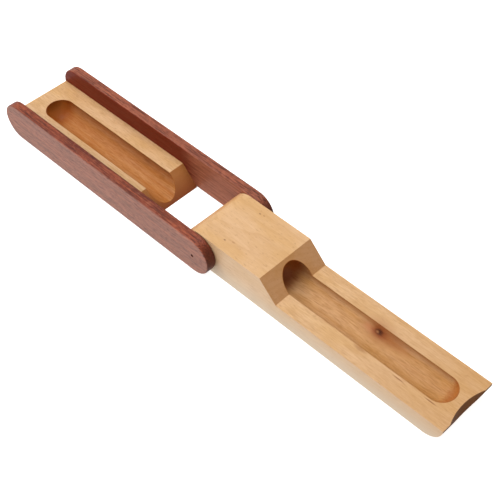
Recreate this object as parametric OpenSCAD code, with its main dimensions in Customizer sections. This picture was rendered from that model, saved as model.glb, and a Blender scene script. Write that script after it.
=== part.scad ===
// Folding wooden case for one test tube.
// A base block glued between two side panels, and an arm that swings on two pins.
// Origin: under the pivot axis, at the level of the underside. +X runs along the opened arm, +Z is up.

/* [Overall] */
// Length of the holder when it lies open, from the panels' end to the arm's tip
open_len = 316; // [312:2:330]
// Height of the side panels, which is also the height of the closed case
height = 23; // [22:0.5:26]

/* [Side panels] */
// Thickness of each side panel
panel_t = 6; // [5:0.5:8]
// Width between the two side panels
inner_w = 37.4; // [36:0.2:42]
// Chamfer along the arrises of the side panels
panel_ease = 0.6; // [0.2:0.1:1.2]

/* [Tube space] */
// Radius of the round groove, which leaves play around a 16 mm tube
groove_r = 8.5; // [7:0.25:9]
// Distance from the pivot axis to the closed end of the groove in the base
base_groove_end = 147; // [144:0.2:150]
// Distance from the pivot axis to the closed end of the groove in the arm
arm_groove_end = 150.8; // [146:0.2:151]
// How much deeper than a half circle the groove is in the base, and shallower in the arm
tube_offset = 1.3; // [0:0.1:1.4]
// Distance from the pivot axis to the bottom of the pocket in the raised block
pocket_end = 37; // [34:1:39]

/* [Blocks] */
// Distance from the pivot axis to the upper edge of the arm's slanted face
slant_top = 42.6; // [41:0.2:46]
// How far the slanted face runs along the arm as it drops to the parting face
slant_run = 10.8; // [9:0.2:12]
// How far the base block's end stands back from the ends of the panels
base_setback = 1.2; // [0:0.2:2]
// Gap between faces that come together when the case is closed
closing_gap = 0.3; // [0.2:0.1:0.6]
// Gap between the arm and each side panel
side_gap = 0.3; // [0.2:0.1:0.6]

/* [Finger scoop] */
// Width of the scoop across the arm's tip
scoop_w = 27; // [20:1:32]
// Depth of the scoop at its middle
scoop_depth = 2.7; // [1:0.1:3]
// Angle by which the scoop leans out, so that it fades away toward the underside
scoop_lean = 14; // [10:1:20]

/* [Pivot pins] */
// Diameter of a pin's shank
pin_d = 1.2; // [1:0.1:1.6]
// Length of a pin
pin_len = 20; // [14:1:20]
// Diameter of a pin's head
head_d = 1.8; // [1.8:0.1:2.8]
// Thickness of a pin's head
head_t = 0.8; // [0.5:0.1:1.2]
// How far the heads are set below the faces of the panels
head_sink = 0.8; // [0.3:0.1:1.2]
// Clearance all round between a pin and its hole in the arm
pin_clearance = 0.05; // [0.02:0.01:0.1]

/* [Hidden] */
$fn = 96;

maple = "#d8ab78";
bubinga = "#96584a";
steel = "#8b8a88";

axis_z = height / 2;                       // height of the pivot axis
end_r = height / 2;                        // radius of every rounded end
parting_z = axis_z - closing_gap / 2;      // top of the base block and of the thin part of the arm
end_centre_x = open_len / 2 - end_r;       // centre of the outer rounded ends, from the pivot
arm_w = inner_w - 2 * side_gap;
outer_y = inner_w / 2 + panel_t;           // outer face of a side panel, from the middle
slant_gap = closing_gap / sin(atan2(axis_z, slant_run));   // the closing gap, measured along X
base_centre_x = end_centre_x - base_setback;
scoop_r = (pow(scoop_w / 2, 2) + pow(scoop_depth, 2)) / (2 * scoop_depth);
pin_hole_depth = 0.6;                      // length of the arm's pin hole beyond the pin's point
overcut = 1;                               // how far a cutter runs past the face it cuts

// A straight round bar along Y, from y0 to y1, on the pivot axis
module bar_across(r, y0, y1) {
    translate([0, y1, axis_z]) rotate([90, 0, 0]) cylinder(r = r, h = y1 - y0);
}

// The room a tube takes, from x0 to x1 at height z: a round bar with ball ends
module tube_space(x0, x1, z) {
    translate([0, 0, z]) rotate([0, 90, 0]) rotate_extrude() intersection() {
        union() {
            translate([0, x0 + groove_r]) circle(r = groove_r);
            translate([0, x1 - groove_r]) circle(r = groove_r);
            translate([0, x0 + groove_r]) square([groove_r, x1 - x0 - 2 * groove_r]);
        }
        translate([0, x0]) square([groove_r, x1 - x0]);
    }
}

// A profile drawn in X and Z, made into a block of width w about the middle
module block(w) {
    rotate([90, 0, 0]) linear_extrude(height = w, center = true) children();
}

// The quarter-round at the outer end of a half block, in X and Z, centred at x
module quarter_end(x) {
    intersection() {
        translate([x, axis_z]) circle(r = end_r);
        translate([x, 0]) square([end_r + overcut, parting_z]);
    }
}

// One end of a side panel: a disc with both arrises eased, from y = 0 to y = panel_t
module panel_end(x) {
    translate([x, panel_t, axis_z]) rotate([90, 0, 0]) rotate_extrude()
        polygon([[0, 0], [end_r - panel_ease, 0], [end_r, panel_ease],
                 [end_r, panel_t - panel_ease], [end_r - panel_ease, panel_t], [0, panel_t]]);
}

// The straight middle of a side panel, with the same eased arrises
module panel_middle() {
    e = panel_ease;
    translate([-end_centre_x, 0, 0]) rotate([90, 0, 90]) linear_extrude(height = end_centre_x)
        polygon([[e, 0], [panel_t - e, 0], [panel_t, e], [panel_t, height - e],
                 [panel_t - e, height], [e, height], [0, height - e], [0, e]]);
}

// A side panel on the +Y side, with the hole that its pin is driven through
module side_panel() {
    difference() {
        translate([0, inner_w / 2, 0]) union() {
            panel_end(-end_centre_x);
            panel_end(0);
            panel_middle();
        }
        bar_across(pin_d / 2, inner_w / 2 - overcut, outer_y);
        bar_across(head_d / 2, outer_y - head_sink - head_t, outer_y + overcut);
    }
}

// A pin on the +Y side: a shank with a flat head, set below the panel's face
module pivot_pin() {
    head_y = outer_y - head_sink;
    bar_across(pin_d / 2, head_y - pin_len, head_y - head_t / 2);
    bar_across(head_d / 2, head_y - head_t, head_y);
}

module side_panel_left() {
    color(bubinga) side_panel();
}

module side_panel_right() {
    color(bubinga) mirror([0, 1, 0]) side_panel();
}

module base_block() {
    color(maple) difference() {
        block(inner_w) union() {
            polygon([[-base_centre_x, 0], [-slant_top - slant_gap, 0],
                     [-slant_top - slant_gap - slant_run * parting_z / axis_z, parting_z],
                     [-base_centre_x, parting_z]]);
            mirror([1, 0]) quarter_end(base_centre_x);
        }
        tube_space(-base_groove_end, 0, axis_z - tube_offset);
    }
}

module swing_arm() {
    slant_foot = slant_top + slant_run * (height - parting_z) / axis_z;
    pin_hole_end = outer_y - head_sink - pin_len - pin_hole_depth;
    color(maple) difference() {
        block(arm_w) union() {
            translate([0, axis_z]) circle(r = end_r);
            polygon([[0, 0], [end_centre_x, 0], [end_centre_x, parting_z],
                     [slant_foot, parting_z], [slant_top, height], [0, height]]);
            quarter_end(end_centre_x);
        }
        tube_space(pocket_end, arm_groove_end, axis_z + tube_offset);
        translate([open_len / 2 - scoop_depth, 0, parting_z]) rotate([0, -scoop_lean, 0])
            translate([scoop_r, 0, -height]) cylinder(r = scoop_r, h = 2 * height, $fn = 192);
        bar_across(pin_d / 2 + pin_clearance, pin_hole_end, arm_w / 2 + overcut);
        mirror([0, 1, 0]) bar_across(pin_d / 2 + pin_clearance, pin_hole_end, arm_w / 2 + overcut);
    }
}

module pivot_pin_left() {
    color(steel) pivot_pin();
}

module pivot_pin_right() {
    color(steel) mirror([0, 1, 0]) pivot_pin();
}

side_panel_left();
side_panel_right();
base_block();
swing_arm();
pivot_pin_left();
pivot_pin_right();
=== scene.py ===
from math import asin, cos, pi, radians, sin

import bmesh
import bpy
from mathutils import Matrix, Vector


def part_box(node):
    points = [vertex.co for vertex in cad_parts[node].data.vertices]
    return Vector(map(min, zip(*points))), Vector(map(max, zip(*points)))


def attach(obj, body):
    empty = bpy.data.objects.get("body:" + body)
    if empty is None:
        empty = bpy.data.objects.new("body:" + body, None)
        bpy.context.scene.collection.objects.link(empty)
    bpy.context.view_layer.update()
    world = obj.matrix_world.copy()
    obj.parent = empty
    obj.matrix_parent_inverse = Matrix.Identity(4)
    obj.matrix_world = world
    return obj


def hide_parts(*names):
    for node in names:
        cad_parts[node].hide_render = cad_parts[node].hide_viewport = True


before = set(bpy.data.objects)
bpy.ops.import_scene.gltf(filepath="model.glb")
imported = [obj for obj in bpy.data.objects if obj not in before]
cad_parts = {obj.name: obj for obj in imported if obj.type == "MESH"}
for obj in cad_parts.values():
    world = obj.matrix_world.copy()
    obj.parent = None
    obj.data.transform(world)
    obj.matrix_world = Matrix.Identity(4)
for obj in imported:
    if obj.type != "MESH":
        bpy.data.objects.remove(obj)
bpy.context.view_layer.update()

# The view. The holder lies open on a bench with the tip of its arm toward the viewer,
# who looks down on it from the right-hand side through a moderately long lens.
MM = 0.001
view_azimuth = radians(46.0)
view_elevation = radians(48.3)
view_roll = radians(-1.5)
view_distance = 588.5 * MM
aim_right = 12.2 * MM
aim_up = -2.7 * MM
view_back = Vector((sin(view_azimuth) * cos(view_elevation),
                    -cos(view_azimuth) * cos(view_elevation), sin(view_elevation)))
level_right = Vector((cos(view_azimuth), sin(view_azimuth), 0))
view_right = Matrix.Rotation(view_roll, 3, view_back) @ level_right
view_up = view_back.cross(view_right)
camera_data = bpy.data.cameras.new("view")
camera_data.sensor_width = 36
camera_data.lens = 79.66
camera_data.clip_start = 10 * MM
camera = bpy.data.objects.new("view", camera_data)
camera_axes = Matrix((view_right, view_up, view_back)).transposed()
camera_place = view_right * aim_right + view_up * aim_up + view_back * view_distance
camera.matrix_world = Matrix.Translation(camera_place) @ camera_axes.to_4x4()
bpy.context.scene.collection.objects.link(camera)
bpy.context.scene.camera = camera

# Base block. A maple block glued between the two side panels, its top just below the pivot.
# The outer end is rounded like the panels. The tube's groove, a little deeper than a half
# round, is routed into the top with a core-box bit and runs out through the slanted end.
base_low, base_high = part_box("base_block")
arm_low, arm_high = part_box("swing_arm")
end_radius = arm_high.z / 2
pivot = Vector((0, 0, end_radius))
parting_dip = asin((pivot.z - base_high.z) / end_radius)
slant_run = 10.8 * MM
groove_radius = 8.5 * MM
groove_reach = 147 * MM
groove_axis = pivot - Vector((0, 0, 1.3 * MM))
arris = 0.55 * MM
arc_steps = 28


def round_stretch(shape, start, centre, angle):
    """Draws an arc of an outline from the vertex start, and returns the arc's last vertex."""
    arc = bmesh.ops.spin(shape, geom=[start], cent=centre, axis=(0, 1, 0), angle=angle,
                         steps=arc_steps, use_merge=False)
    return [item for item in arc["geom_last"] if isinstance(item, bmesh.types.BMVert)][0]


def saw_out(shape, width):
    """Fills the outline and gives it its width along +Y."""
    bmesh.ops.edgeloop_fill(shape, edges=shape.edges[:])
    side = bmesh.ops.extrude_face_region(shape, geom=shape.faces[:])["geom"]
    moved = [item for item in side if isinstance(item, bmesh.types.BMVert)]
    bmesh.ops.translate(shape, verts=moved, vec=(0, width, 0))
    bmesh.ops.recalc_face_normals(shape, faces=shape.faces[:])


def ease_arrises(shape, radius, sharper_than=38, segments=4):
    """Sands every outer arris of the shape that is sharper than that many degrees."""
    edges = [edge for edge in shape.edges
             if edge.is_manifold and edge.calc_face_angle_signed() > radians(sharper_than)]
    bmesh.ops.bevel(shape, geom=edges, offset=radius, offset_type="OFFSET", affect="EDGES",
                    segments=segments, profile=0.5, material=-1, clamp_overlap=True)


def into_object(shape, name):
    """Makes the shape an object of its own, at the origin, and lets the shape go."""
    mesh = bpy.data.meshes.new(name)
    shape.to_mesh(mesh)
    shape.free()
    piece = bpy.data.objects.new(name, mesh)
    bpy.context.scene.collection.objects.link(piece)
    return piece


def tube_bit(x0, x1, axis):
    """The round-ended space that a core-box bit leaves between x0 and x1, about that axis."""
    shape = bmesh.new()
    pole = shape.verts.new((x0, 0, axis.z))
    shoulder = round_stretch(shape, pole, (x0 + groove_radius, 0, axis.z), pi / 2)
    far_shoulder = shape.verts.new((x1 - groove_radius, 0, axis.z + groove_radius))
    shape.edges.new((shoulder, far_shoulder))
    round_stretch(shape, far_shoulder, (x1 - groove_radius, 0, axis.z), pi / 2)
    bmesh.ops.spin(shape, geom=shape.verts[:] + shape.edges[:], cent=axis, axis=(1, 0, 0),
                   angle=2 * pi, steps=96, use_merge=True)
    bmesh.ops.remove_doubles(shape, verts=shape.verts[:], dist=0.001 * MM)
    bmesh.ops.recalc_face_normals(shape, faces=shape.faces[:])
    return into_object(shape, "tube_bit")


def cut_away(piece, tools):
    """Takes each tool's shape out of the piece, and puts the tool away."""
    for tool in tools:
        cut = piece.modifiers.new("cut", "BOOLEAN")
        cut.operation = "DIFFERENCE"
        cut.solver = "EXACT"
        cut.object = tool
    graph = bpy.context.evaluated_depsgraph_get()
    cut_mesh = bpy.data.meshes.new_from_object(piece.evaluated_get(graph))
    piece.modifiers.clear()
    blank = piece.data
    piece.data = cut_mesh
    bpy.data.meshes.remove(blank)
    cut_mesh.name = piece.name
    for tool in tools:
        bpy.data.objects.remove(tool)


def sand(piece, radius):
    """Eases the arrises that are still sharp."""
    shape = bmesh.new()
    shape.from_mesh(piece.data)
    bmesh.ops.remove_doubles(shape, verts=shape.verts[:], dist=0.002 * MM)
    ease_arrises(shape, radius)
    shape.to_mesh(piece.data)
    shape.free()


def finish_surface(piece, material, crease=40):
    """Shades the piece smooth between its arrises and gives it its material."""
    piece.data.materials.clear()
    piece.data.materials.append(material)
    piece.data.shade_smooth()
    piece.data.set_sharp_from_angle(angle=radians(crease))
    weighted = piece.modifiers.new("weighted_normals", "WEIGHTED_NORMAL")
    weighted.keep_sharp = True


def linear_colour(code):
    """An sRGB hex code as the linear colour that a shader takes."""
    parts = [int(code[i:i + 2], 16) / 255 for i in (1, 3, 5)]
    linear = [p / 12.92 if p <= 0.04045 else ((p + 0.055) / 1.055) ** 2.4 for p in parts]
    return (*linear, 1)


def add_node(tree, kind, inputs=None, **settings):
    """Adds one node. Each input is either another node's output, to link, or a value."""
    node = tree.nodes.new(kind)
    for key, value in settings.items():
        setattr(node, key, value)
    for key, value in (inputs or {}).items():
        if isinstance(value, bpy.types.NodeSocket):
            tree.links.new(value, node.inputs[key])
        else:
            node.inputs[key].default_value = value
    return node


def fibre_noise(tree, log, long, wide, detail, roughness=0.5):
    """Noise in blotches that are that many millimetres long and wide, lying along the tree."""
    drawn_out = add_node(tree, "ShaderNodeVectorMath", {
        0: log, 1: (1 / long, 1 / wide, 1 / wide)}, operation="MULTIPLY")
    return add_node(tree, "ShaderNodeTexNoise", {
        "Vector": drawn_out.outputs[0], "Scale": 1, "Detail": detail,
        "Roughness": roughness}).outputs[0]


def stain(tree, wood, code, value, low, high, share, least=0, within=1, smooth=False):
    """Lays a darker or paler colour over the wood. How much of it shows grows from least to
    share as the value goes from low to high, and within is where on the piece it lies."""
    cover = add_node(tree, "ShaderNodeMapRange", {
        "Value": value, "From Min": low, "From Max": high, "To Min": least, "To Max": share},
        interpolation_type="SMOOTHSTEP" if smooth else "LINEAR")
    shown = add_node(tree, "ShaderNodeMath", {0: cover.outputs[0], 1: within},
                     operation="MULTIPLY")
    return add_node(tree, "ShaderNodeMix", {0: shown.outputs[0], 6: wood,
                                            7: linear_colour(code)}, data_type="RGBA").outputs[2]


def lacquered_maple(name, heart, groove, routed_look, scorches, slant_grain_and_shade, marks):
    """Hard maple, planed, sanded and lacquered satin: pale tan and close-grained, with growth
    rings, fine fibres and darker end grain. The routed groove is darker, and scorched where
    the bit turned. heart is the middle of the tree, groove the two ends and the height of the
    groove's axis, and scorches where each scorch starts and is full, all in millimetres.
    routed_look is the groove's colour, its share and its sheen, slant_grain_and_shade how dark
    the slanted face is, from its end grain and, where set higher, from painted shade, and marks
    are the knots and flecks of this one block."""
    material = bpy.data.materials.new(name)
    material.use_nodes = True
    tree = material.node_tree
    shader = tree.nodes["Principled BSDF"]
    place = add_node(tree, "ShaderNodeTexCoord")
    log = add_node(tree, "ShaderNodeMapping", {
        "Vector": place.outputs["Object"], "Location": -Vector(heart),
        "Rotation": (0, radians(0.9), radians(0.5)), "Scale": (1 / MM,) * 3}).outputs[0]
    spot = add_node(tree, "ShaderNodeMapping", {
        "Vector": place.outputs["Object"], "Location": (0, 0, -groove[2]),
        "Scale": (1 / MM,) * 3}).outputs[0]
    spot_x = add_node(tree, "ShaderNodeSeparateXYZ", {0: spot}).outputs["X"]
    spot_z = add_node(tree, "ShaderNodeSeparateXYZ", {0: place.outputs["Object"]}).outputs["Z"]
    facing = add_node(tree, "ShaderNodeSeparateXYZ", {0: place.outputs["Normal"]})
    sideways = add_node(tree, "ShaderNodeMath", {0: facing.outputs["Y"]},
                        operation="ABSOLUTE").outputs[0]
    across_fibres = add_node(tree, "ShaderNodeMath", {0: facing.outputs["X"]},
                             operation="ABSOLUTE").outputs[0]

    # growth rings 2.3 mm apart, wavering by about 3 mm along the tree
    waver = fibre_noise(tree, log, 80, 16, 2)
    across = add_node(tree, "ShaderNodeVectorMath", {0: log, 1: (0, 1, 1)}, operation="MULTIPLY")
    radius = add_node(tree, "ShaderNodeVectorMath", {0: across.outputs[0]}, operation="LENGTH")
    ring_place = add_node(tree, "ShaderNodeMath", {0: waver, 1: 7, 2: radius.outputs["Value"]},
                          operation="MULTIPLY_ADD")
    ring_count = add_node(tree, "ShaderNodeMath", {0: ring_place.outputs[0], 1: 2.3},
                          operation="DIVIDE")
    ring = add_node(tree, "ShaderNodeMath", {0: ring_count.outputs[0]}, operation="FRACT")

    # slow clouds and streaks 3 mm across, with fibres and flecks that are drawn coarser than
    # the real 0.1 mm ones so that they show, and fade on the more finely planed raised block
    clouds = fibre_noise(tree, log, 22, 9, 2)
    streaks = fibre_noise(tree, log, 60, 2.6, 3, 0.6)
    fibres = fibre_noise(tree, log, 6, 0.42, 3, 0.75)
    flecks = fibre_noise(tree, log, 2.6, 0.8, 1)
    coarse = add_node(tree, "ShaderNodeMapRange", {
        "Value": spot_z, "From Min": 18 * MM, "From Max": 12 * MM, "To Min": 0.4}).outputs[0]
    wood = stain(tree, linear_colour("#deb385"), "#d6a76f", clouds, 0.35, 0.65, 1)
    wood = stain(tree, wood, "#c59257", streaks, 0.5, 0.75, 0.22)
    wood = stain(tree, wood, "#b47f3f", ring.outputs[0], 0.5, 1, 0.2)
    wood = stain(tree, wood, "#a87640", fibres, 0.47, 0.68, 0.5, within=coarse)
    wood = stain(tree, wood, "#edcc9f", fibres, 0.46, 0.28, 0.4, within=coarse)
    wood = stain(tree, wood, "#9c6836", flecks, 0.64, 0.74, 0.32)
    # painted shade: from 70 mm on, the arm's wood darkens toward its tip, standing in for the
    # light falling off along the arm
    wood = stain(tree, wood, "#be8744", spot_x, 70, 150, 0.4)

    # the sides: a painted pale sheen, standing in for the white bench's reflection, stronger
    # toward the underside
    painted_sheen_low_down = add_node(tree, "ShaderNodeMapRange", {
        "Value": spot_z, "From Min": 12 * MM, "From Max": 1 * MM, "To Min": 0.25,
        "To Max": 0.75}).outputs[0]
    wood = stain(tree, wood, "#d6c4ad", sideways, 0.8, 1, 1, within=painted_sheen_low_down)

    # the routed groove: burnished by the bit, with painted shade under its rim, and scorched at
    # its ends
    axis_x = add_node(tree, "ShaderNodeClamp", {0: spot_x, 1: groove[0], 2: groove[1]})
    axis_spot = add_node(tree, "ShaderNodeCombineXYZ", {0: axis_x.outputs[0]})
    depth = add_node(tree, "ShaderNodeVectorMath", {0: spot, 1: axis_spot.outputs[0]},
                     operation="DISTANCE")
    bit_radius = groove_radius / MM
    routed = add_node(tree, "ShaderNodeMapRange", {
        "Value": depth.outputs["Value"], "From Min": bit_radius + 0.25,
        "From Max": bit_radius + 0.1}).outputs[0]
    burnish, burnish_share, routed_sheen = routed_look
    wood = stain(tree, wood, burnish, streaks, 0.3, 0.7, burnish_share + 0.15,
                 least=burnish_share - 0.15, within=routed)
    wood = stain(tree, wood, "#7a421a", fibres, 0.5, 0.68, 0.3, within=routed)
    wood = stain(tree, wood, "#dba568", fibres, 0.47, 0.3, 0.3, within=routed)
    # painted shade: the groove darkens over its top 3.2 mm, just under the rim
    wood = stain(tree, wood, "#8f5420", spot_z, base_high.z - 3.2 * MM, base_high.z, 0.6,
                 within=routed, smooth=True)
    unevenness = 5
    uneven_x = add_node(tree, "ShaderNodeMath", {0: streaks, 1: unevenness, 2: spot_x},
                        operation="MULTIPLY_ADD").outputs[0]
    for clear_x, scorched_x, strength in scorches:
        wood = stain(tree, wood, "#984a10", uneven_x, clear_x + unevenness / 2,
                     scorched_x + unevenness / 2, strength, within=routed, smooth=True)

    # end grain drinks the lacquer and turns darker, wherever a cut crosses the fibres; the faces
    # across the fibres also carry painted shade, reddened as a painted reflection of the panels,
    # growing toward the bench
    slant_foot = add_node(tree, "ShaderNodeMapRange", {
        "Value": spot_z, "From Min": 9 * MM, "From Max": 0, "To Max": 0.75}).outputs[0]
    sealed = add_node(tree, "ShaderNodeMapRange", {
        "Value": routed, "To Min": 1, "To Max": 0.35}).outputs[0]
    wood = stain(tree, wood, "#b8702f", across_fibres, 0.4, 0.72, slant_grain_and_shade)
    # painted shade and painted red reflection of the panels on the lower slanted and end faces
    wood = stain(tree, wood, "#84381a", across_fibres, 0.4, 0.72, 1, within=slant_foot)
    wood = stain(tree, wood, "#74400f", across_fibres, 0.76, 1, 0.95, within=sealed, smooth=True)

    # knots and flecks, each a soft-edged grain of darker wood
    for centre, half_size, code, strength in marks:
        mark = add_node(tree, "ShaderNodeMapping", {
            "Vector": place.outputs["Object"],
            "Location": [-c / half for c, half in zip(centre, half_size)],
            "Scale": [1 / (half * MM) for half in half_size]})
        reach = add_node(tree, "ShaderNodeVectorMath", {0: mark.outputs[0]}, operation="LENGTH")
        ragged = add_node(tree, "ShaderNodeMath", {0: fibres, 1: 1.2, 2: reach.outputs["Value"]},
                          operation="MULTIPLY_ADD")
        wood = stain(tree, wood, code, ragged.outputs[0], 1.7, 0.9, strength, smooth=True)

    # the lacquer: satin, thinner where the fibres stand up, in the groove and on end grain
    relief = add_node(tree, "ShaderNodeBump", {"Height": fibres, "Strength": 0.35,
                                               "Distance": 0.06 * MM})
    satin = add_node(tree, "ShaderNodeMapRange", {
        "Value": fibres, "From Min": 0.3, "From Max": 0.7, "To Min": 0.42, "To Max": 0.55})
    bare_sheen = add_node(tree, "ShaderNodeMapRange", {
        "Value": routed, "To Min": 0.5, "To Max": routed_sheen})
    end_dulling = add_node(tree, "ShaderNodeMapRange", {
        "Value": across_fibres, "From Min": 0.8, "From Max": 1, "To Min": 1, "To Max": 0.1})
    sheen = add_node(tree, "ShaderNodeMath", {0: bare_sheen.outputs[0],
                                              1: end_dulling.outputs[0]}, operation="MULTIPLY")
    tree.links.new(wood, shader.inputs["Base Color"])
    tree.links.new(relief.outputs[0], shader.inputs["Normal"])
    tree.links.new(satin.outputs[0], shader.inputs["Roughness"])
    tree.links.new(sheen.outputs[0], shader.inputs["Specular IOR Level"])
    shader.inputs["IOR"].default_value = 1.5
    shader.inputs["Coat Weight"].default_value = 0.06
    shader.inputs["Coat Roughness"].default_value = 0.3
    return material


base_shape = bmesh.new()
base_end_centre = Vector((base_low.x + end_radius, base_low.y, pivot.z))
base_start = base_shape.verts.new(base_end_centre - end_radius * Vector((cos(parting_dip), 0,
                                                                         sin(parting_dip))))
base_foot = round_stretch(base_shape, base_start, base_end_centre, parting_dip - pi / 2)
base_slant_foot = base_shape.verts.new((base_high.x, base_low.y, 0))
base_slant_top_x = base_high.x - slant_run * base_high.z / pivot.z
base_slant_top = base_shape.verts.new((base_slant_top_x, base_low.y, base_high.z))
for pair in ((base_foot, base_slant_foot), (base_slant_foot, base_slant_top),
             (base_slant_top, base_start)):
    base_shape.edges.new(pair)
saw_out(base_shape, base_high.y - base_low.y)
base = into_object(base_shape, "base_block_maple")
cut_away(base, [tube_bit(-groove_reach, pivot.x, groove_axis)])
sand(base, arris)
base_marks = [((-72, 7.9, 8.4), (4, 1.2, 1.2), "#7c4420", 0.5),
              ((-152.4, 12, 11.4), (1.2, 0.5, 0.5), "#a87848", 0.6)]
base_groove = ((groove_radius - groove_reach) / MM, 0, groove_axis.z / MM)
base_scorches = [(-131, -143, 0.85)]
# the base's routed share of 0.8, against the arm's 0.42, is deepened as painted shade between
# the side panels
base_routed_look_and_shade = ("#b0682a", 0.8, 0.1)
# the base's slanted face gets 0.85 against the arm's 0.45: the extra is painted shade between
# the side panels
finish_surface(base, lacquered_maple("lacquered_maple_base", (0, 26, -62), base_groove,
                                     base_routed_look_and_shade, base_scorches, 0.85, base_marks))
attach(base, "case")
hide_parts("base_block")

# Side panels. Two bubinga boards with full-round ends, glued to the sides of the base block
# and reaching past it to carry the arm. Their arrises are rounded over a little more than
# the maple's, and each has a small stepped hole for its pin.
panel_low, panel_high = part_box("side_panel_left")
pin_low, pin_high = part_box("pivot_pin_left")
panel_arris = 0.8 * MM
pin_radius = 0.6 * MM
inner_y = panel_low.y
outer_y = panel_high.y
head_radius = (pin_high.z - pin_low.z) / 2
head_thickness = 0.8 * MM


def drill(radius, y0, y1):
    """The hole that a twist bit leaves between y0 and y1, on the pivot axis."""
    shape = bmesh.new()
    turn = Matrix.Translation((0, (y0 + y1) / 2, pivot.z)) @ Matrix.Rotation(pi / 2, 4, "X")
    bmesh.ops.create_cone(shape, cap_ends=True, segments=48, radius1=radius, radius2=radius,
                          depth=abs(y1 - y0), matrix=turn)
    return into_object(shape, "drill")


def oiled_bubinga(name, heart, paleness):
    """Bubinga, sanded and oiled: red-brown, with fine dark pore lines along the board and
    broader ribbons of lighter and darker wood. The outer faces carry a painted pale grey sheen,
    the white bench's reflection, and the inner faces painted deep red shade beside the base and
    a painted paler bounce of light beside the arm.
    heart is the middle of the tree, in millimetres, and paleness the board's own."""
    material = bpy.data.materials.new(name)
    material.use_nodes = True
    tree = material.node_tree
    shader = tree.nodes["Principled BSDF"]
    place = add_node(tree, "ShaderNodeTexCoord")
    log = add_node(tree, "ShaderNodeMapping", {
        "Vector": place.outputs["Object"], "Location": -Vector(heart),
        "Rotation": (0, radians(-1.6), radians(0.6)), "Scale": (1 / MM,) * 3}).outputs[0]
    spot = add_node(tree, "ShaderNodeSeparateXYZ", {0: place.outputs["Object"]})
    off_middle = add_node(tree, "ShaderNodeMath", {0: spot.outputs["Y"]},
                          operation="ABSOLUTE").outputs[0]
    facing = add_node(tree, "ShaderNodeSeparateXYZ", {0: place.outputs["Normal"]})
    across_fibres = add_node(tree, "ShaderNodeMath", {0: facing.outputs["X"]},
                             operation="ABSOLUTE").outputs[0]

    # ribbons 2.6 mm across, and pore lines and dashes, which are about 0.2 mm wide on the
    # real wood and are drawn wider here so that they show
    ribbons = fibre_noise(tree, log, 70, 2.6, 3, 0.6)
    clouds = fibre_noise(tree, log, 60, 12, 1)
    lines = fibre_noise(tree, log, 24, 0.7, 3, 0.65)
    pores = fibre_noise(tree, log, 3, 0.36, 2, 0.6)
    wood = stain(tree, linear_colour("#6a2410"), "#9c4829", ribbons, 0.36, 0.64, 1)
    wood = stain(tree, wood, "#7f3a28", clouds, 0.45, 0.65, 0.35)
    wood = add_node(tree, "ShaderNodeMix", {0: paleness, 6: wood, 7: linear_colour("#b06a50")},
                    data_type="RGBA").outputs[2]
    wood = stain(tree, wood, "#401106", lines, 0.48, 0.62, 0.85)
    wood = stain(tree, wood, "#b5674a", lines, 0.44, 0.28, 0.4)
    # painted sheen: the outer faces paler and greyer, standing in for the white bench's
    # reflection
    wood = stain(tree, wood, "#b98b78", off_middle, outer_y - 0.4 * MM, outer_y - 0.1 * MM, 0.42)
    wood = stain(tree, wood, "#431509", pores, 0.53, 0.64, 0.6)
    wood = stain(tree, wood, "#b97558", pores, 0.45, 0.34, 0.35)

    # the inner faces: painted deep red shade beside the base, and a painted paler bounce of
    # light from the bench beside the arm
    inner_face = add_node(tree, "ShaderNodeMapRange", {
        "Value": off_middle, "From Min": inner_y + 0.4 * MM,
        "From Max": inner_y + 0.1 * MM}).outputs[0]
    wood = stain(tree, wood, "#701e02", spot.outputs["X"], base_high.x,
                 base_high.x - 12 * MM, 0.9, within=inner_face)
    wood = stain(tree, wood, "#c47a58", spot.outputs["X"], base_high.x - 8 * MM,
                 base_high.x + 4 * MM, 0.4, within=inner_face)
    wood = stain(tree, wood, "#4d2014", across_fibres, 0.3, 1, 0.75, smooth=True)

    # the oil: a low sheen, duller on the pore lines and dullest on the inner faces
    relief = add_node(tree, "ShaderNodeBump", {"Height": lines, "Strength": 0.4,
                                               "Distance": 0.1 * MM})
    dullness = add_node(tree, "ShaderNodeMapRange", {
        "Value": lines, "From Min": 0.3, "From Max": 0.7, "To Min": 0.4, "To Max": 0.55})
    sheen = add_node(tree, "ShaderNodeMapRange", {
        "Value": inner_face, "To Min": 0.28, "To Max": 0.1})
    tree.links.new(wood, shader.inputs["Base Color"])
    tree.links.new(relief.outputs[0], shader.inputs["Normal"])
    tree.links.new(dullness.outputs[0], shader.inputs["Roughness"])
    tree.links.new(sheen.outputs[0], shader.inputs["Specular IOR Level"])
    shader.inputs["IOR"].default_value = 1.5
    shader.inputs["Coat Weight"].default_value = 0.05
    shader.inputs["Coat Roughness"].default_value = 0.35
    return material


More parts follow.
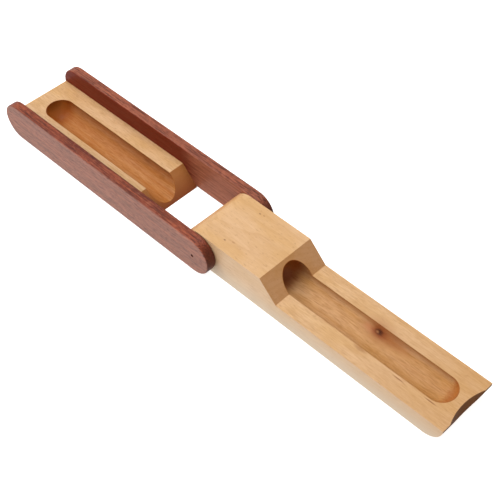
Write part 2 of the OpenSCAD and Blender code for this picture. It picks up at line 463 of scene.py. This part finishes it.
for side, hand, paleness in (("left", 1, 0.5), ("right", -1, 0.05)):
    panel_shape = bmesh.new()
    panel_start = panel_shape.verts.new((panel_low.x + end_radius, panel_low.y, panel_high.z))
    panel_foot = round_stretch(panel_shape, panel_start,
                               (panel_low.x + end_radius, panel_low.y, pivot.z), -pi)
    pivot_foot = panel_shape.verts.new((0, panel_low.y, 0))
    panel_shape.edges.new((panel_foot, pivot_foot))
    pivot_top = round_stretch(panel_shape, pivot_foot, (0, panel_low.y, pivot.z), -pi)
    panel_shape.edges.new((pivot_top, panel_start))
    saw_out(panel_shape, panel_high.y - panel_low.y)
    ease_arrises(panel_shape, panel_arris)
    panel = into_object(panel_shape, "side_panel_" + side + "_bubinga")
    head_seat = pin_high.y - head_thickness
    cut_away(panel, [drill(pin_radius, panel_low.y - MM, head_seat + MM / 2),
                     drill(head_radius, head_seat, panel_high.y + MM)])
    panel_mirror = bmesh.new()
    panel_mirror.from_mesh(panel.data)
    bmesh.ops.scale(panel_mirror, verts=panel_mirror.verts[:], vec=(1, hand, 1))
    bmesh.ops.recalc_face_normals(panel_mirror, faces=panel_mirror.faces[:])
    panel_mirror.to_mesh(panel.data)
    panel_mirror.free()
    finish_surface(panel, oiled_bubinga("oiled_bubinga_" + side,
                                        (40 * hand, 30 * hand, -35), paleness))
    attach(panel, "case")
    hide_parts("side_panel_" + side)

# Swing arm. One maple block: a full-height part that turns between the panels on a rounded
# end, a slanted shoulder that meets the base block's slant when it closes, and a half-height
# part with the rest of the tube's groove. Its tip has a shallow scoop for a finger.
slant_top_x = 42.6 * MM
pocket_reach = 37 * MM
arm_groove_reach = 150.8 * MM
arm_groove_axis = pivot + (pivot - groove_axis)
scoop_width = 27 * MM
scoop_depth = 2.7 * MM
scoop_lean = radians(14)
parting_z = base_high.z
pin_play = 0.05 * MM
pin_hole_end = pin_low.y - 0.6 * MM


def scoop_cutter():
    """The drum that sands the finger scoop: it leans over the tip and bites its upper edge."""
    radius = ((scoop_width / 2) ** 2 + scoop_depth ** 2) / (2 * scoop_depth)
    shape = bmesh.new()
    stand = Matrix.Translation((arm_high.x - scoop_depth, 0, parting_z))
    stand = stand @ Matrix.Rotation(-scoop_lean, 4, "Y") @ Matrix.Translation((radius, 0, 0))
    bmesh.ops.create_cone(shape, cap_ends=True, segments=360, radius1=radius, radius2=radius,
                          depth=4 * end_radius, matrix=stand)
    return into_object(shape, "scoop_drum")


arm_shape = bmesh.new()
arm_start = arm_shape.verts.new((0, arm_low.y, arm_high.z))
arm_foot = round_stretch(arm_shape, arm_start, (0, arm_low.y, pivot.z), -pi)
tip_centre = Vector((arm_high.x - end_radius * cos(parting_dip), arm_low.y, pivot.z))
tip_foot = arm_shape.verts.new((tip_centre.x, arm_low.y, 0))
tip_top = round_stretch(arm_shape, tip_foot, tip_centre, parting_dip - pi / 2)
slant_foot_x = slant_top_x + slant_run * (arm_high.z - parting_z) / pivot.z
arm_slant_foot = arm_shape.verts.new((slant_foot_x, arm_low.y, parting_z))
arm_slant_top = arm_shape.verts.new((slant_top_x, arm_low.y, arm_high.z))
for pair in ((arm_foot, tip_foot), (tip_top, arm_slant_foot), (arm_slant_foot, arm_slant_top),
             (arm_slant_top, arm_start)):
    arm_shape.edges.new(pair)
saw_out(arm_shape, arm_high.y - arm_low.y)
arm = into_object(arm_shape, "swing_arm_maple")
cut_away(arm, [tube_bit(pocket_reach, arm_groove_reach, arm_groove_axis), scoop_cutter()])
sand(arm, arris)
cut_away(arm, [drill(pin_radius + pin_play, pin_hole_end, arm_high.y + MM),
               drill(pin_radius + pin_play, -pin_hole_end, -arm_high.y - MM)])
arm_marks = [((99.4, 7.5, 7.5), (13, 7, 7), "#a05c28", 0.5),
             ((107, 7, 8), (15, 4.5, 4.5), "#984f22", 0.45),
             ((94, 6.5, 7), (5, 2.4, 2.4), "#c98a62", 0.45),
             ((99.4, 7.5, 7.5), (6, 4.6, 4.6), "#8a431c", 0.8),
             ((99.4, 7.5, 7.5), (3.2, 2.2, 2.2), "#3d1a0a", 0.95),
             ((98.5, 7.2, 7.2), (1.5, 1.1, 1.1), "#b87c50", 0.95),
             ((12, -12.3, 23), (0.9, 0.5, 0.5), "#8a5a30", 0.8),
             ((16.5, -10.5, 23), (1.4, 0.6, 0.6), "#a87444", 0.6),
             ((12.2, 13, 23), (0.8, 0.5, 0.5), "#7c4a24", 0.8),
             ((14.7, 13.4, 23), (0.7, 0.4, 0.4), "#9c6434", 0.8),
             ((125, -10.1, 11.4), (4, 0.4, 0.6), "#8a4d1c", 0.85),
             ((143.8, -9.6, 11.4), (4.4, 0.4, 0.7), "#8a4d1c", 0.85),
             ((101, -9.3, 11.4), (5, 1.6, 1.6), "#a0682f", 0.6)]
arm_groove = ((pocket_reach + groove_radius) / MM, (arm_groove_reach - groove_radius) / MM,
              arm_groove_axis.z / MM)
arm_scorches = [(50, 42, 0.85), (142.5, 147, 0.5)]
arm_routed_look = ("#b07434", 0.42, 0.18)
finish_surface(arm, lacquered_maple("lacquered_maple_arm", (0, -18, -74), arm_groove,
                                    arm_routed_look, arm_scorches, 0.45, arm_marks))
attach(arm, "arm")
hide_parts("swing_arm")

# Pivot pins. Two steel panel pins, each driven through a side panel into the arm, on which
# the arm turns. The heads are set below the wood with a nail punch, which leaves a dimple.
point_length = 1.4 * MM
punch_dimple = 0.2 * MM


def drawn_steel(name):
    """Drawn steel wire, dulled to a brownish grey in its hole: metal with fine draw lines."""
    material = bpy.data.materials.new(name)
    material.use_nodes = True
    tree = material.node_tree
    shader = tree.nodes["Principled BSDF"]
    place = add_node(tree, "ShaderNodeTexCoord")
    drawn_out = add_node(tree, "ShaderNodeVectorMath", {
        0: place.outputs["Object"], 1: (1 / (0.1 * MM), 1 / (3 * MM), 1 / (0.1 * MM))},
        operation="MULTIPLY")
    draw_lines = add_node(tree, "ShaderNodeTexNoise", {"Vector": drawn_out.outputs[0],
                                                       "Scale": 1, "Detail": 2})
    colour = add_node(tree, "ShaderNodeMix", {0: draw_lines.outputs[0],
                                              6: linear_colour("#6e655c"),
                                              7: linear_colour("#8f8a84")}, data_type="RGBA")
    gloss = add_node(tree, "ShaderNodeMapRange", {"Value": draw_lines.outputs[0],
                                                  "To Min": 0.35, "To Max": 0.6})
    tree.links.new(colour.outputs[2], shader.inputs["Base Color"])
    tree.links.new(gloss.outputs[0], shader.inputs["Roughness"])
    shader.inputs["Metallic"].default_value = 1
    return material


pin_steel = drawn_steel("drawn_steel")
head_y = pin_high.y
pin_profile = [(head_y - punch_dimple, 0), (head_y - punch_dimple, head_radius * 0.3),
               (head_y, head_radius * 0.55), (head_y, head_radius * 0.9),
               (head_y - 0.1 * MM, head_radius), (head_y - 0.5 * MM, head_radius),
               (head_y - head_thickness, pin_radius), (pin_low.y + point_length, pin_radius),
               (pin_low.y, 0)]
for side, hand in (("left", 1), ("right", -1)):
    pin_shape = bmesh.new()
    pin_line = [pin_shape.verts.new((0, y, pivot.z + r)) for y, r in pin_profile]
    for first, second in zip(pin_line, pin_line[1:]):
        pin_shape.edges.new((first, second))
    bmesh.ops.spin(pin_shape, geom=pin_shape.verts[:] + pin_shape.edges[:], cent=pivot,
                   axis=(0, 1, 0), angle=2 * pi, steps=32, use_merge=True)
    bmesh.ops.remove_doubles(pin_shape, verts=pin_shape.verts[:], dist=0.001 * MM)
    bmesh.ops.scale(pin_shape, verts=pin_shape.verts[:], vec=(1, hand, 1))
    bmesh.ops.recalc_face_normals(pin_shape, faces=pin_shape.faces[:])
    pin = into_object(pin_shape, "pivot_pin_" + side + "_steel")
    finish_surface(pin, pin_steel)
    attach(pin, "case")
    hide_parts("pivot_pin_" + side)

# Bench and light. A plain white bench, a large soft lamp overhead toward the left end, a
# weak fill from the front, and pale light from all round, strong from the front and the left
# and weak from behind and the right, which the sides mirror faintly.
bench_shape = bmesh.new()
bmesh.ops.create_grid(bench_shape, x_segments=1, y_segments=1, size=6)
bmesh.ops.translate(bench_shape, verts=bench_shape.verts[:], vec=(0, 0, -0.05 * MM))
bench = into_object(bench_shape, "bench")
bench_white = bpy.data.materials.new("matt_white_bench")
bench_white.use_nodes = True
bench_shader = bench_white.node_tree.nodes["Principled BSDF"]
bench_shader.inputs["Base Color"].default_value = linear_colour("#e7e7e7")
bench_shader.inputs["Roughness"].default_value = 0.9
bench_shader.inputs["Emission Color"].default_value = linear_colour("#ffffff")
bench_shader.inputs["Emission Strength"].default_value = 0.8
bench.data.materials.append(bench_white)
bench.visible_diffuse = False
bench.visible_glossy = False

sky = bpy.data.worlds.new("studio")
sky.use_nodes = True
sky_tree = sky.node_tree
sky_way = add_node(sky_tree, "ShaderNodeTexCoord")
toward_dim_side = (0.5, 0.62, 0.4)
sky_from = add_node(sky_tree, "ShaderNodeVectorMath", {0: sky_way.outputs["Generated"],
                                                       1: toward_dim_side},
                    operation="DOT_PRODUCT")
sky_strength = add_node(sky_tree, "ShaderNodeMapRange", {"Value": sky_from.outputs["Value"],
                                                         "From Min": -0.9, "From Max": 0.9,
                                                         "To Min": 1.2, "To Max": 0.2})
background = sky_tree.nodes["Background"]
background.inputs["Color"].default_value = linear_colour("#ffffff")
sky_tree.links.new(sky_strength.outputs[0], background.inputs["Strength"])
bpy.context.scene.world = sky


def soft_lamp(name, place, size, watts):
    """A round diffusing lamp that shines at the holder's middle."""
    lamp_data = bpy.data.lights.new(name, "AREA")
    lamp_data.shape = "DISK"
    lamp_data.size = size
    lamp_data.energy = watts
    lamp = bpy.data.objects.new(name, lamp_data)
    lamp.location = place
    lamp.rotation_euler = Vector(place).to_track_quat("Z", "Y").to_euler()
    bpy.context.scene.collection.objects.link(lamp)


soft_lamp("overhead_lamp", (-0.16, 0.08, 1.18), 0.8, 7)
soft_lamp("front_fill", (-0.62, -0.62, 0.92), 0.4, 3.2)
bpy.context.scene.view_settings.view_transform = "Standard"
